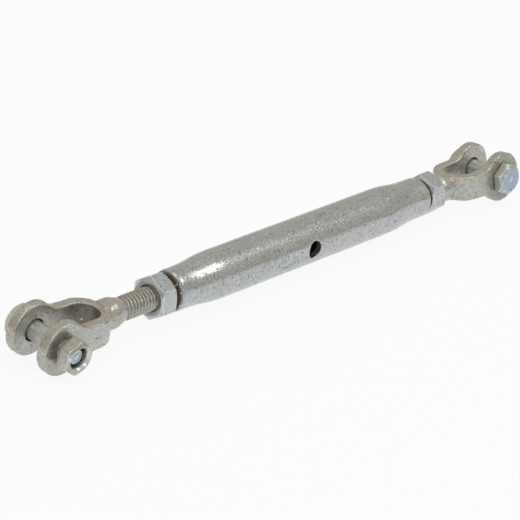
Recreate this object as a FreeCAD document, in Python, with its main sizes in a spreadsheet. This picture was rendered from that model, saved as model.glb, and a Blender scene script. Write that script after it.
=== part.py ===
"""Closed-body turnbuckle with a forged jaw at each end, hot-dip galvanised steel.

X runs along the tube from the left jaw to the right jaw, Y along the clevis
bolts and Z up. The origin is the middle of the tube, on the axis of the cross
hole that takes a turning bar. All sizes are in millimetres.
"""
import FreeCAD
import Part

import math
import os

import Sketcher

SIZES = [
    ("body_length", 192.0, "tube, rim to rim"),
    ("tube_diameter", 25.4, "outside of the tube"),
    ("tube_wall", 4.0, "wall of the tube between the swaged ends"),
    ("collar_diameter", 21.8, "outside of each swaged collar"),
    ("collar_length", 14.0, "straight part of each collar"),
    ("taper_length", 13.0, "straight flank between tube and collar"),
    ("taper_blend", 26.0, "rounding where the flank meets tube and collar"),
    ("rim_bevel", 1.2, "bevel of the collar's outer rim"),
    ("bore_chamfer", 0.9, "chamfer at the mouth of the tapped bore"),
    ("tapped_length", 18.0, "tapped bore of each collar"),
    ("bar_hole_diameter", 9.0, "cross hole for the turning bar"),
    ("stud_diameter", 12.7, "outside of the stud's thread"),
    ("stud_length", 92.0, "threaded length of each stud"),
    ("stud_clearance", 0.15, "gap round the stud in nut and tube, on radius"),
    ("stud_point", 1.2, "chamfer at the stud's end"),
    ("neck_diameter", 12.0, "plain neck beside the thread"),
    ("neck_root_diameter", 16.0, "plain neck beside the fork"),
    ("neck_root_length", 5.0, "length of the neck at its full width"),
    ("neck_length", 11.5, "plain neck, fork to thread"),
    ("fork_gap", 15.6, "between the two ears"),
    ("ear_thickness", 5.7, "thickness of each ear"),
    ("ear_diameter", 27.4, "round eye of each ear"),
    ("eye_hole_diameter", 11.6, "hole for the clevis bolt"),
    ("arm_height", 16.4, "height of the arms, taken at the bolt axis"),
    ("root_height", 13.0, "height of the forging where arms and neck meet"),
    ("waist_blend", 10.0, "rounding between eye and arm"),
    ("throat_depth", 31.0, "bolt axis to the end of the throat"),
    ("root_thickness", 5.5, "forging behind the end of the throat"),
    ("shoulder_round", 12.6, "rounding of the fork's shoulders, seen from above"),
    ("forging_bevel", 0.7, "bevel along the forging's edges"),
    ("left_thread_shown", 18.9, "thread in view between left neck and lock nut"),
    ("left_nut_backoff", 2.5, "left lock nut, backed off from the tube"),
    ("right_neck_covered", 1.9, "how far the right lock nut has run onto the neck"),
    ("right_nut_backoff", 1.9, "right lock nut, backed off from the tube"),
    ("lock_nut_flats", 20.4, "lock nut across flats"),
    ("lock_nut_thickness", 10.4, "lock nut thickness"),
    ("clevis_diameter", 10.0, "shank of the M10 clevis bolt"),
    ("clevis_flats", 16.0, "clevis bolt head and nut across flats"),
    ("clevis_head_thickness", 5.4, "clevis bolt head thickness"),
    ("left_clevis_nut_thickness", 8.0, "left clevis nut thickness"),
    ("right_clevis_nut_thickness", 5.6, "right clevis nut thickness, a thinner nut"),
    ("clevis_nut_clearance", 0.05, "gap round the bolt in its nut, on radius"),
    ("left_clevis_length", 36.0, "left clevis bolt under its head"),
    ("right_clevis_length", 33.2, "right clevis bolt under its head"),
    ("left_head_play", 1.6, "left bolt, between its head and the ear"),
    ("left_nut_play", 2.0, "left bolt, between its nut and the ear"),
    ("right_head_play", 0.3, "right bolt, between its head and the ear"),
    ("right_nut_play", 0.3, "right bolt, between its nut and the ear"),
    ("clevis_point", 0.8, "chamfer at the bolt's end"),
    ("left_jaw_turn", 5.0, "left jaw, near side down, in degrees about X"),
    ("right_jaw_turn", 5.0, "right jaw, near side up, in degrees about X"),
]

HEX_CHAMFER_ANGLE = 30.0
HEX_FACE_SHARE = 0.95
LOOSE = 1e-6

doc = FreeCAD.newDocument("turnbuckle")
sheet = doc.addObject("Spreadsheet::Sheet", "sizes")
for row, (alias, value, note) in enumerate(SIZES, start=1):
    sheet.set(f"A{row}", note)
    sheet.set(f"B{row}", str(value))
    sheet.setAlias(f"B{row}", alias)
doc.recompute()


def size(expression):
    """Value of an expression over the sheet's sizes."""
    return float(sheet.evalExpression(expression))


def plane(body, role):
    """One of a body's own origin planes or axes."""
    return next(item for item in body.Origin.OriginFeatures if item.Role == role)


def new_body(name):
    body = doc.addObject("PartDesign::Body", name)
    body.Label = name
    return body


def new_sketch(body, name, role):
    sketch = body.newObject("Sketcher::SketchObject", name)
    sketch.AttachmentSupport = [(plane(body, role), "")]
    sketch.MapMode = "FlatFace"
    return sketch


def hold(sketch, curve, point, across, up):
    """Place a point of a curve by expressions; a leading minus measures to the other side."""
    if across == "0":
        sketch.addConstraint(Sketcher.Constraint("PointOnObject", curve, point, -2))
    else:
        measure(sketch, "DistanceX", curve, point, across)
    if up == "0":
        sketch.addConstraint(Sketcher.Constraint("PointOnObject", curve, point, -1))
    else:
        measure(sketch, "DistanceY", curve, point, up)


def measure(sketch, kind, curve, point, expression):
    far_side = expression.startswith("-")
    expression = expression.lstrip("-").strip()
    value = size(expression)
    if far_side:
        index = sketch.addConstraint(Sketcher.Constraint(kind, curve, point, -1, 1, value))
    else:
        index = sketch.addConstraint(Sketcher.Constraint(kind, -1, 1, curve, point, value))
    sketch.setExpression(f"Constraints[{index}]", expression)


def signed(expression):
    """Value of an expression that may carry a leading minus for the other side."""
    if expression.startswith("-"):
        return -size(expression.lstrip("-").strip())
    return size(expression)


def outline(sketch, corners, blends=None):
    """Closed outline through corners given as pairs of expressions.

    The lines between the corners are straight. A corner whose index has a radius in
    blends is rounded with a tangent arc of that radius.
    """
    blends = blends or {}
    points = [FreeCAD.Vector(signed(across), signed(up), 0) for across, up in corners]
    count = len(points)
    arcs = {index: rounding(points, index, size(radius)) for index, radius in blends.items()}
    lines = []
    for index in range(count):
        following = (index + 1) % count
        start = arcs[index][1] if index in arcs else points[index]
        end = arcs[following][0] if following in arcs else points[following]
        lines.append(sketch.addGeometry(Part.LineSegment(start, end)))
    for index, (across, up) in enumerate(corners):
        line_in, line_out = lines[index - 1], lines[index]
        if index not in arcs:
            sketch.addConstraint(Sketcher.Constraint("Coincident", line_in, 2, line_out, 1))
            hold(sketch, line_out, 1, across, up)
            continue
        arc = sketch.addGeometry(arcs[index][2])
        first, last = arcs[index][3]
        sketch.addConstraint(Sketcher.Constraint("Tangent", line_in, 2, arc, first))
        sketch.addConstraint(Sketcher.Constraint("Tangent", arc, last, line_out, 1))
        radius = sketch.addConstraint(Sketcher.Constraint("Radius", arc, size(blends[index])))
        sketch.setExpression(f"Constraints[{radius}]", blends[index])
        corner = sketch.addGeometry(Part.Point(points[index]), True)
        sketch.addConstraint(Sketcher.Constraint("PointOnObject", corner, 1, line_in))
        sketch.addConstraint(Sketcher.Constraint("PointOnObject", corner, 1, line_out))
        hold(sketch, corner, 1, across, up)


def rounding(points, index, radius):
    """Where an arc rounds a corner: its two ends, the arc, and which of its ends comes first."""
    corner = points[index]
    back = (points[index - 1] - corner).normalize()
    ahead = (points[(index + 1) % len(points)] - corner).normalize()
    half_angle = back.getAngle(ahead) / 2
    reach = radius / math.tan(half_angle)
    start, end = corner + back * reach, corner + ahead * reach
    centre = corner + (back + ahead).normalize() * (radius / math.sin(half_angle))
    turns_left = back.cross(ahead).z < 0
    first, last = (start, end) if turns_left else (end, start)
    angles = [math.atan2(spot.y - centre.y, spot.x - centre.x) for spot in (first, last)]
    if angles[1] < angles[0]:
        angles[1] += 2 * math.pi
    arc = Part.ArcOfCircle(Part.Circle(centre, FreeCAD.Vector(0, 0, 1), radius), *angles)
    return start, end, arc, (1, 2) if turns_left else (2, 1)


def circle(sketch, diameter):
    """Circle round the sketch's origin."""
    radius = size(diameter) / 2
    curve = sketch.addGeometry(Part.Circle(FreeCAD.Vector(), FreeCAD.Vector(0, 0, 1), radius))
    sketch.addConstraint(Sketcher.Constraint("Coincident", curve, 3, -1, 1))
    index = sketch.addConstraint(Sketcher.Constraint("Diameter", curve, 2 * radius))
    sketch.setExpression(f"Constraints[{index}]", diameter)


def feature(body, kind, name, profile=None):
    item = body.newObject(f"PartDesign::{kind}", name)
    if profile is not None:
        item.Profile = profile
        profile.Visibility = False
    return item


def turn_solid(body, name, sketch):
    """Solid of revolution about the sketch's across axis."""
    item = feature(body, "Revolution", name, sketch)
    item.ReferenceAxis = (sketch, ["H_Axis"])
    item.Angle = 360
    doc.recompute()
    return item


def pad_both_ways(body, name, sketch, length):
    item = feature(body, "Pad", name, sketch)
    item.SideType = "Symmetric"
    item.setExpression("Length", length)
    doc.recompute()
    return item


def cut_through(body, name, sketch):
    """Pocket through everything, both ways from the sketch."""
    item = feature(body, "Pocket", name, sketch)
    item.SideType = "Symmetric"
    item.Type = "ThroughAll"
    before = item.BaseFeature.Shape.Volume
    doc.recompute()
    if not item.Shape.Volume < before - LOOSE:
        raise RuntimeError(f"{body.Label}: {name} cuts nothing")
    return item


def edges_where(item, test):
    """Names of a feature's edges that pass a test."""
    names = []
    for number, edge in enumerate(item.Shape.Edges, start=1):
        if test(edge):
            names.append(f"Edge{number}")
    return names


def dress(body, kind, name, test, length):
    """Fillet or chamfer on the edges of the body's tip that pass a test."""
    base = body.Tip
    names = edges_where(base, test)
    if not names:
        raise RuntimeError(f"{body.Label}: {name} finds no edge")
    item = feature(body, kind, name)
    item.Base = (base, names)
    item.setExpression("Radius" if kind == "Fillet" else "Size", length)
    doc.recompute()
    return item


def ring_at(across, radius):
    """Test for a circular edge about X at a place along X and of a given radius."""
    def test(edge):
        curve = edge.Curve
        if not isinstance(curve, Part.Circle):
            return False
        same_place = abs(abs(curve.Center.x) - across) < 1e-4
        return same_place and abs(curve.Radius - radius) < 1e-4
    return test


def make_pipe_body():
    """Swaged tube with a tapped collar at each end and a cross hole in the middle."""
    body = new_body("pipe_body")
    sketch = new_sketch(body, "half_section", "XZ_Plane")
    rim = "sizes.body_length / 2"
    collar_start = f"{rim} - sizes.collar_length"
    taper_start = f"{rim} - sizes.collar_length - sizes.taper_length"
    bore_start = f"{rim} - sizes.tapped_length"
    tube_radius = "sizes.tube_diameter / 2"
    inner_radius = "sizes.tube_diameter / 2 - sizes.tube_wall"
    collar_radius = "sizes.collar_diameter / 2"
    bore_radius = "sizes.stud_diameter / 2 + sizes.stud_clearance"
    outline(sketch, [
        ("0", inner_radius),
        ("0", tube_radius),
        (taper_start, tube_radius),
        (collar_start, collar_radius),
        (rim, collar_radius),
        (rim, bore_radius),
        (bore_start, bore_radius),
        (taper_start, inner_radius),
    ], blends={2: "sizes.taper_blend", 3: "sizes.taper_blend"})
    half = turn_solid(body, "half_tube", sketch)
    mirror = feature(body, "Mirrored", "whole_tube")
    mirror.Originals = [half]
    mirror.MirrorPlane = (plane(body, "YZ_Plane"), [""])
    body.Tip = mirror
    doc.recompute()
    dress(body, "Chamfer", "rims", ring_at(size(rim), size(collar_radius)), "sizes.rim_bevel")
    dress(body, "Chamfer", "bore_mouths", ring_at(size(rim), size(bore_radius)), "sizes.bore_chamfer")
    hole = new_sketch(body, "bar_hole_outline", "XZ_Plane")
    circle(hole, "sizes.bar_hole_diameter")
    cut_through(body, "bar_hole", hole)
    return body


def make_jaw(name):
    """Forged jaw: bolt axis on the body's own Y axis, stud towards +X."""
    body = new_body(name)
    fork_width = "sizes.fork_gap + 2 * sizes.ear_thickness"
    shoulder = "sizes.throat_depth + sizes.root_thickness"
    arm_half = "sizes.arm_height / 2"
    root_half = "sizes.root_height / 2"

    eyes = new_sketch(body, "eye_outline", "XZ_Plane")
    circle(eyes, "sizes.ear_diameter")
    pad_both_ways(body, "eyes", eyes, fork_width)
    arms = new_sketch(body, "arm_outline", "XZ_Plane")
    outline(arms, [("0", arm_half), (shoulder, root_half), (shoulder, f"-{root_half}"), ("0", f"-{arm_half}")])
    pad_both_ways(body, "arms", arms, fork_width)
    dress(body, "Fillet", "waists", is_waist_corner, "sizes.waist_blend")

    gap_half = "sizes.fork_gap / 2"
    throat = new_sketch(body, "throat_outline", "XY_Plane")
    throat_slot(throat, gap_half)
    cut_through(body, "throat", throat)

    shoulder_x = size(shoulder)
    outer_y = size(fork_width) / 2

    def is_shoulder_corner(edge):
        middle = edge.CenterOfMass
        upright = abs(edge.tangentAt(edge.FirstParameter).z) > 0.99
        return upright and abs(middle.x - shoulder_x) < 1e-4 and abs(abs(middle.y) - outer_y) < 1e-4

    dress(body, "Fillet", "shoulders", is_shoulder_corner, "sizes.shoulder_round")
    dress(body, "Chamfer", "forged_edges", is_long_edge, "sizes.forging_bevel")

    stem = new_sketch(body, "stem_section", "XZ_Plane")
    thread_start = f"{shoulder} + sizes.neck_length"
    cone_start = f"{shoulder} + sizes.neck_root_length"
    stud_end = f"{thread_start} + sizes.stud_length"
    outline(stem, [
        ("sizes.throat_depth + sizes.root_thickness / 2", "0"),
        ("sizes.throat_depth + sizes.root_thickness / 2", "sizes.neck_root_diameter / 2"),
        (cone_start, "sizes.neck_root_diameter / 2"),
        (thread_start, "sizes.neck_diameter / 2"),
        (thread_start, "sizes.stud_diameter / 2"),
        (f"{stud_end} - sizes.stud_point", "sizes.stud_diameter / 2"),
        (stud_end, "sizes.stud_diameter / 2 - sizes.stud_point"),
        (stud_end, "0"),
    ])
    turn_solid(body, "neck_and_stud", stem)

    holes = new_sketch(body, "eye_hole_outline", "XZ_Plane")
    circle(holes, "sizes.eye_hole_diameter")
    cut_through(body, "eye_holes", holes)
    return body


def throat_slot(sketch, gap_half):
    """Slot that is open past the eyes and ends in a half round."""
    radius = size(gap_half)
    deep = size("sizes.throat_depth")
    open_end = "-sizes.ear_diameter"
    mouth = signed(open_end)
    centre = FreeCAD.Vector(deep - radius, 0, 0)
    round_end = Part.ArcOfCircle(Part.Circle(centre, FreeCAD.Vector(0, 0, 1), radius), -math.pi / 2, math.pi / 2)
    arc = sketch.addGeometry(round_end)
    upper = sketch.addGeometry(Part.LineSegment(
        FreeCAD.Vector(deep - radius, radius, 0), FreeCAD.Vector(mouth, radius, 0)))
    mouth_line = sketch.addGeometry(Part.LineSegment(
        FreeCAD.Vector(mouth, radius, 0), FreeCAD.Vector(mouth, -radius, 0)))
    lower = sketch.addGeometry(Part.LineSegment(
        FreeCAD.Vector(mouth, -radius, 0), FreeCAD.Vector(deep - radius, -radius, 0)))
    sketch.addConstraint(Sketcher.Constraint("Tangent", arc, 2, upper, 1))
    sketch.addConstraint(Sketcher.Constraint("Coincident", upper, 2, mouth_line, 1))
    sketch.addConstraint(Sketcher.Constraint("Coincident", mouth_line, 2, lower, 1))
    sketch.addConstraint(Sketcher.Constraint("Tangent", lower, 2, arc, 1))
    sketch.addConstraint(Sketcher.Constraint("Horizontal", upper))
    sketch.addConstraint(Sketcher.Constraint("Vertical", mouth_line))
    sketch.addConstraint(Sketcher.Constraint("PointOnObject", arc, 3, -1))
    index = sketch.addConstraint(Sketcher.Constraint("Radius", arc, radius))
    sketch.setExpression(f"Constraints[{index}]", gap_half)
    measure(sketch, "DistanceX", arc, 3, "sizes.throat_depth - sizes.fork_gap / 2")
    measure(sketch, "DistanceX", mouth_line, 1, open_end)


def is_waist_corner(edge):
    """Straight edge along Y where the round eye meets the arm."""
    if abs(edge.tangentAt(edge.FirstParameter).y) < 0.99:
        return False
    middle = edge.CenterOfMass
    eye_radius = size("sizes.ear_diameter / 2")
    return middle.x > 0 and abs(math.hypot(middle.x, middle.z) - eye_radius) < 1e-4


def is_long_edge(edge):
    """Edge of the fork's outline, inside or outside, where two smooth faces meet at an angle."""
    start = edge.tangentAt(edge.FirstParameter)
    middle = edge.CenterOfMass
    if abs(start.y) > 0.99 and edge.Length > size("sizes.ear_thickness") / 2 and isinstance(edge.Curve, Part.Line):
        return abs(middle.x - size("sizes.throat_depth + sizes.root_thickness")) < 1e-4
    if isinstance(edge.Curve, Part.Line) and abs(start.z) > 0.99:
        return False
    return not (isinstance(edge.Curve, Part.Line) and abs(start.y) > 0.99)


def hex_ring(sketch, flats):
    """Everything outside a hexagon, out to a circle well clear of its corners."""
    corner = f"{flats} / 2 / cos(30 deg)"
    half_side = f"{flats} / 4 / cos(30 deg)"
    outline(sketch, [
        (f"{flats} / 2", half_side),
        ("0", corner),
        (f"-{flats} / 2", half_side),
        (f"-{flats} / 2", f"-{half_side}"),
        ("0", f"-{corner}"),
        (f"{flats} / 2", f"-{half_side}"),
    ])
    circle(sketch, f"{flats} * 1.5")


def cut_flats(body, flats, length, reversed_way):
    """Six flats along the body's X axis, from its YZ plane."""
    sketch = new_sketch(body, "flats_outline", "YZ_Plane")
    hex_ring(sketch, flats)
    item = feature(body, "Pocket", "flats", sketch)
    item.Type = "Length"
    item.setExpression("Length", length)
    item.Reversed = reversed_way
    before = item.BaseFeature.Shape.Volume
    doc.recompute()
    if not item.Shape.Volume < before - LOOSE:
        raise RuntimeError(f"{body.Label}: the flats cut nothing")


def make_nut(name, flats, thickness, bore_radius, countersink):
    """Hexagon nut from its own origin towards +X, chamfered on both faces."""
    body = new_body(name)
    corner = f"{flats} / 2 / cos(30 deg)"
    face = f"{flats} / 2 * {HEX_FACE_SHARE}"
    bevel = f"({corner} - {face}) * tan({HEX_CHAMFER_ANGLE} deg)"
    section = new_sketch(body, "section", "XZ_Plane")
    outline(section, [
        ("0", f"{bore_radius} + {countersink}"),
        ("0", face),
        (bevel, corner),
        (f"{thickness} - {bevel}", corner),
        (thickness, face),
        (thickness, f"{bore_radius} + {countersink}"),
        (f"{thickness} - {countersink}", bore_radius),
        (countersink, bore_radius),
    ])
    turn_solid(body, "blank", section)
    cut_flats(body, flats, thickness, True)
    return body


def make_bolt(name, length):
    """Clevis bolt: underside of the head at the body's own origin, shank towards +X."""
    body = new_body(name)
    flats = "sizes.clevis_flats"
    head = "sizes.clevis_head_thickness"
    corner = f"{flats} / 2 / cos(30 deg)"
    face = f"{flats} / 2 * {HEX_FACE_SHARE}"
    bevel = f"({corner} - {face}) * tan({HEX_CHAMFER_ANGLE} deg)"
    shank = "sizes.clevis_diameter / 2"
    section = new_sketch(body, "section", "XZ_Plane")
    outline(section, [
        (f"-{head}", "0"),
        (f"-{head}", face),
        (f"-({head} - {bevel})", corner),
        ("0", corner),
        ("0", shank),
        (f"{length} - sizes.clevis_point", shank),
        (length, f"{shank} - sizes.clevis_point"),
        (length, "0"),
    ])
    turn_solid(body, "blank", section)
    cut_flats(body, flats, head, False)
    return body


def place(body, rotation, across="0", along="0", up="0"):
    """Turn a body and put its origin where the expressions say."""
    body.Placement = FreeCAD.Placement(FreeCAD.Vector(), rotation)
    for axis, expression in (("x", across), ("y", along), ("z", up)):
        if expression != "0":
            body.setExpression(f"Placement.Base.{axis}", expression)


NUT_THREAD_RADIUS = "(sizes.stud_diameter / 2 + sizes.stud_clearance)"
CLEVIS_THREAD_RADIUS = "(sizes.clevis_diameter / 2 + sizes.clevis_nut_clearance)"
JAW_LENGTH = "(sizes.throat_depth + sizes.root_thickness + sizes.neck_length)"
LEFT_NUT_FACE = "(sizes.body_length / 2 + sizes.left_nut_backoff)"
RIGHT_NUT_FACE = "(sizes.body_length / 2 + sizes.right_nut_backoff)"
LEFT_PIN = f"({LEFT_NUT_FACE} + sizes.lock_nut_thickness + sizes.left_thread_shown + {JAW_LENGTH})"
RIGHT_PIN = f"({RIGHT_NUT_FACE} + sizes.lock_nut_thickness - sizes.right_neck_covered + {JAW_LENGTH})"
EAR_FACE = "(sizes.fork_gap / 2 + sizes.ear_thickness)"
LEFT_JAW_TURN = "sizes.left_jaw_turn"
RIGHT_JAW_TURN = "(-sizes.right_jaw_turn)"

X_AXIS = FreeCAD.Vector(1, 0, 0)
Z_AXIS = FreeCAD.Vector(0, 0, 1)
AS_BUILT = FreeCAD.Rotation()
TURNED_ROUND = FreeCAD.Rotation(Z_AXIS, 180)
TO_PLUS_Y = FreeCAD.Rotation(Z_AXIS, 90)
TO_MINUS_Y = FreeCAD.Rotation(Z_AXIS, -90)

# How far each hexagon has come to rest, turned about its own axis, in degrees
LEFT_LOCK_NUT_TURN = 2.0
RIGHT_LOCK_NUT_TURN = 48.0
LEFT_CLEVIS_NUT_TURN = 53.0
LEFT_BOLT_TURN = 51.0
RIGHT_CLEVIS_NUT_TURN = 5.0
RIGHT_BOLT_TURN = 50.0


def spun(rotation, degrees):
    """The rotation, after a turn about the body's own X axis."""
    return rotation.multiply(FreeCAD.Rotation(X_AXIS, degrees))


def about_x(turn):
    """A jaw's turn about the stud's axis, from an expression in degrees."""
    return FreeCAD.Rotation(X_AXIS, size(turn))


def seat_on_ear(body, rotation, pin, depth, turn):
    """Put a bolt or nut on the bolt axis of a turned jaw, at a depth measured along that axis."""
    along = f"{depth} * cos({turn} * 1 deg)"
    up = f"{depth} * sin({turn} * 1 deg)"
    place(body, about_x(turn).multiply(rotation), pin, along, up)


make_pipe_body()

jaw_left = make_jaw("jaw_left")
place(jaw_left, about_x(LEFT_JAW_TURN), across=f"-{LEFT_PIN}")
jaw_right = make_jaw("jaw_right")
place(jaw_right, about_x(RIGHT_JAW_TURN).multiply(TURNED_ROUND), across=RIGHT_PIN)

lock_nut = ("sizes.lock_nut_flats", "sizes.lock_nut_thickness", NUT_THREAD_RADIUS, "sizes.bore_chamfer")
lock_nut_left = make_nut("lock_nut_left", *lock_nut)
place(lock_nut_left, spun(TURNED_ROUND, LEFT_LOCK_NUT_TURN), across=f"-{LEFT_NUT_FACE}")
lock_nut_right = make_nut("lock_nut_right", *lock_nut)
place(lock_nut_right, spun(AS_BUILT, RIGHT_LOCK_NUT_TURN), across=RIGHT_NUT_FACE)

clevis_bolt_left = make_bolt("clevis_bolt_left", "sizes.left_clevis_length")
clevis_nut_left = make_nut("clevis_nut_left", "sizes.clevis_flats", "sizes.left_clevis_nut_thickness",
                           CLEVIS_THREAD_RADIUS, "sizes.clevis_point")
clevis_bolt_right = make_bolt("clevis_bolt_right", "sizes.right_clevis_length")
clevis_nut_right = make_nut("clevis_nut_right", "sizes.clevis_flats", "sizes.right_clevis_nut_thickness",
                            CLEVIS_THREAD_RADIUS, "sizes.clevis_point")
seat_on_ear(clevis_bolt_left, spun(TO_MINUS_Y, LEFT_BOLT_TURN), f"-{LEFT_PIN}",
            f"({EAR_FACE} + sizes.left_head_play)", LEFT_JAW_TURN)
seat_on_ear(clevis_nut_left, spun(TO_MINUS_Y, LEFT_CLEVIS_NUT_TURN), f"-{LEFT_PIN}",
            f"-({EAR_FACE} + sizes.left_nut_play)", LEFT_JAW_TURN)
seat_on_ear(clevis_bolt_right, spun(TO_PLUS_Y, RIGHT_BOLT_TURN), RIGHT_PIN,
            f"-({EAR_FACE} + sizes.right_head_play)", RIGHT_JAW_TURN)
seat_on_ear(clevis_nut_right, spun(TO_PLUS_Y, RIGHT_CLEVIS_NUT_TURN), RIGHT_PIN,
            f"({EAR_FACE} + sizes.right_nut_play)", RIGHT_JAW_TURN)

doc.recompute()

for item in doc.Objects:
    if "Invalid" in item.State or "Error" in item.State:
        raise RuntimeError(f"{item.Label} failed: {item.State}")

bodies = [item for item in doc.Objects if item.TypeId == "PartDesign::Body"]
for body in bodies:
    shape = body.Shape
    if shape.isNull() or not shape.isValid() or len(shape.Solids) != 1:
        raise RuntimeError(f"{body.Label} is not one valid solid")

os.makedirs("parts", exist_ok=True)
for body in bodies:
    body.Shape.exportStep(f"parts/{body.Label}.step")
    box = body.Shape.BoundBox
    print(f"{body.Label}: {body.Shape.Volume:.0f} mm3, X {box.XMin:.1f} to {box.XMax:.1f}, "
          f"Y {box.YMin:.1f} to {box.YMax:.1f}, Z {box.ZMin:.1f} to {box.ZMax:.1f}")
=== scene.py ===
"""Visual model of a galvanised turnbuckle with a forged jaw at each end, and its studio."""
import math

import bmesh
import bpy
import numpy as np
from mathutils import Matrix, Vector, noise


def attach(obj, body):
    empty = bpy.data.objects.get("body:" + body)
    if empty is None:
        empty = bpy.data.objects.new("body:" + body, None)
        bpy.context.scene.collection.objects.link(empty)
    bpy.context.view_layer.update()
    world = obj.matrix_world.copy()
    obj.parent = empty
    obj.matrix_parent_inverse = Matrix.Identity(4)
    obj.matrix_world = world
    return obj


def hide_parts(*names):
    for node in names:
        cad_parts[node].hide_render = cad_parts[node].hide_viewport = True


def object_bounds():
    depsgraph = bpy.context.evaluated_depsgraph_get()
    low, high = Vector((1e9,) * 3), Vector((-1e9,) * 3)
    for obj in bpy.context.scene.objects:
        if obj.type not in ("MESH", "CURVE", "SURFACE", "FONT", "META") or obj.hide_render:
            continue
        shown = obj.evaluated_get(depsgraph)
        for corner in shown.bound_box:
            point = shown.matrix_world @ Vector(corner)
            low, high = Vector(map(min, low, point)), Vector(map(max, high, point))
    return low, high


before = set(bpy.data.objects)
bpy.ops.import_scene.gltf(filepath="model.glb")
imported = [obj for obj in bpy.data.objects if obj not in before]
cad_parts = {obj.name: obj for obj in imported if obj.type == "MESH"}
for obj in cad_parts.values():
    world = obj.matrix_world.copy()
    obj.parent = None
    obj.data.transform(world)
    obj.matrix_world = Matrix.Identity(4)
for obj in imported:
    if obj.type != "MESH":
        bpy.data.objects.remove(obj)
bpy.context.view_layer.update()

MM = 0.001
IMAGE_SIDE = 520.0

# Camera, worked out from the tube's ends, the cross hole and the jaws
SENSOR_WIDTH = 36.0
FOCAL_PX = 2568.04
CENTRE_PX = (268.19, 257.54)
CAMERA_AT = (-0.92335, -0.75905, 0.54502)
CAMERA_YAW = -49.89
CAMERA_PITCH = -24.93
CAMERA_ROLL = -5.68
CAMERA_CLIP = 0.01


def make_camera():
    """Camera at the photograph's viewing angle, rolled and shifted as its frame is."""
    data = bpy.data.cameras.new("camera")
    data.sensor_width = SENSOR_WIDTH
    data.lens = SENSOR_WIDTH * FOCAL_PX / IMAGE_SIDE
    data.shift_x = (IMAGE_SIDE / 2 - CENTRE_PX[0]) / IMAGE_SIDE
    data.shift_y = (CENTRE_PX[1] - IMAGE_SIDE / 2) / IMAGE_SIDE
    data.clip_start = CAMERA_CLIP
    camera = bpy.data.objects.new("camera", data)
    bpy.context.scene.collection.objects.link(camera)
    yaw, pitch, roll = (math.radians(value) for value in (CAMERA_YAW, CAMERA_PITCH, CAMERA_ROLL))
    level = math.cos(pitch)
    forward = Vector((math.sin(-yaw) * level, math.cos(yaw) * level, math.sin(pitch)))
    right = forward.cross(Vector((0, 0, 1))).normalized()
    down = forward.cross(right)
    rolled_right = right * math.cos(roll) + down * math.sin(roll)
    rolled_down = down * math.cos(roll) - right * math.sin(roll)
    matrix = Matrix((rolled_right, -rolled_down, -forward)).transposed().to_4x4()
    matrix.translation = Vector(CAMERA_AT)
    camera.matrix_world = matrix
    bpy.context.scene.camera = camera


make_camera()

# Sizes in millimetres, the same as the solids': first the tube
HALF_BODY = 96.0
TUBE_RADIUS = 12.7
TUBE_INSIDE = 8.7
COLLAR_RADIUS = 10.9
COLLAR_LENGTH = 14.0
TAPER_LENGTH = 13.0
TAPER_BLEND = 7.0
RIM_ROUND_LONG = 3.0
RIM_ROUND_DEEP = 1.5
BORE_RADIUS = 6.5
COUNTERSINK = 0.9
TAPPED_LENGTH = 18.0
BAR_HOLE_RADIUS = 4.5

# Lock nuts, as flats, thickness and the place of each inner face
LOCK_NUT_FLATS = 20.4
LOCK_NUT_THICKNESS = 10.4
LOCK_NUT_LEFT_FACE = 98.5
LOCK_NUT_RIGHT_FACE = 97.9

# Jaws and their studs; the pins are the places of the clevis bolts' axes
LEFT_PIN = -175.8
RIGHT_PIN = 154.4
PIN_TO_THREAD = 48.0
JAW_TURN = 5.0
EAR_FACE = 13.5
FORK_GAP = 15.6
THROAT_DEPTH = 31.0
STUD_RADIUS = 6.35
STUD_LENGTH = 92.0
STUD_PITCH = 25.4 / 12
THREAD_DEPTH = 1.1

# Clevis bolts and nuts
CLEVIS_FLATS = 16.0
CLEVIS_RADIUS = 5.0
CLEVIS_PITCH = 1.5
CLEVIS_THREADED = 10.5
CLEVIS_POINT_RADIUS = 3.5
CLEVIS_POINT_LENGTH = 1.5
CLEVIS_HEAD = 5.4
CLEVIS_COUNTERSINK = 1.3
CLEVIS_NUT_CLEARANCE = 0.05

# Helpers

NOISE_STEPS = (17.3, 5.1, 9.7)
NOISE_FALL = 1.0
NOISE_LACUNARITY = 2.0


def fine_noise(points, scale, seed, octaves):
    """Smooth noise of about -1 to 1 at each point, features about 1/scale mm apart."""
    shift = Vector([seed * step for step in NOISE_STEPS])
    return np.array([noise.fractal(Vector(point) * scale + shift, NOISE_FALL, NOISE_LACUNARITY, octaves)
                     for point in points])


def share_of(value, none, full):
    """Share that runs straight from 0 where the value is none to 1 where it is full."""
    return np.clip((value - none) / (full - none), 0, 1)


def mesh_object(name, vertices, faces, body, slot, *nodes):
    """Smooth-shaded piece from vertices in millimetres and their faces."""
    mesh = bpy.data.meshes.new(name)
    mesh.from_pydata((np.asarray(vertices) * MM).tolist(), [], faces)
    mesh.validate()
    mesh.polygons.foreach_set("use_smooth", [True] * len(mesh.polygons))
    piece = bpy.data.objects.new(name, mesh)
    bpy.context.scene.collection.objects.link(piece)
    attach(piece, body)
    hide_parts(*nodes)
    return piece


def face_outwards(piece):
    """Joins vertices that coincide and turns every face's front outwards."""
    work = bmesh.new()
    work.from_mesh(piece.data)
    bmesh.ops.remove_doubles(work, verts=work.verts, dist=1e-7)
    bmesh.ops.recalc_face_normals(work, faces=work.faces)
    work.to_mesh(piece.data)
    work.free()


def add_dirt_and_painted_light(piece, amount_at):
    """Share of dirt at each vertex, with painted shade on the jaws and a painted reflection on the bolts,
    from its place in millimetres.
    """
    mesh = piece.data
    places = np.empty(len(mesh.vertices) * 3)
    mesh.vertices.foreach_get("co", places)
    amounts = np.clip(amount_at(places.reshape(-1, 3) / MM), 0, 1)
    layer = mesh.attributes.new("dirt_and_painted_light", "FLOAT", "POINT")
    layer.data.foreach_set("value", amounts.astype(np.float32))


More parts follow.
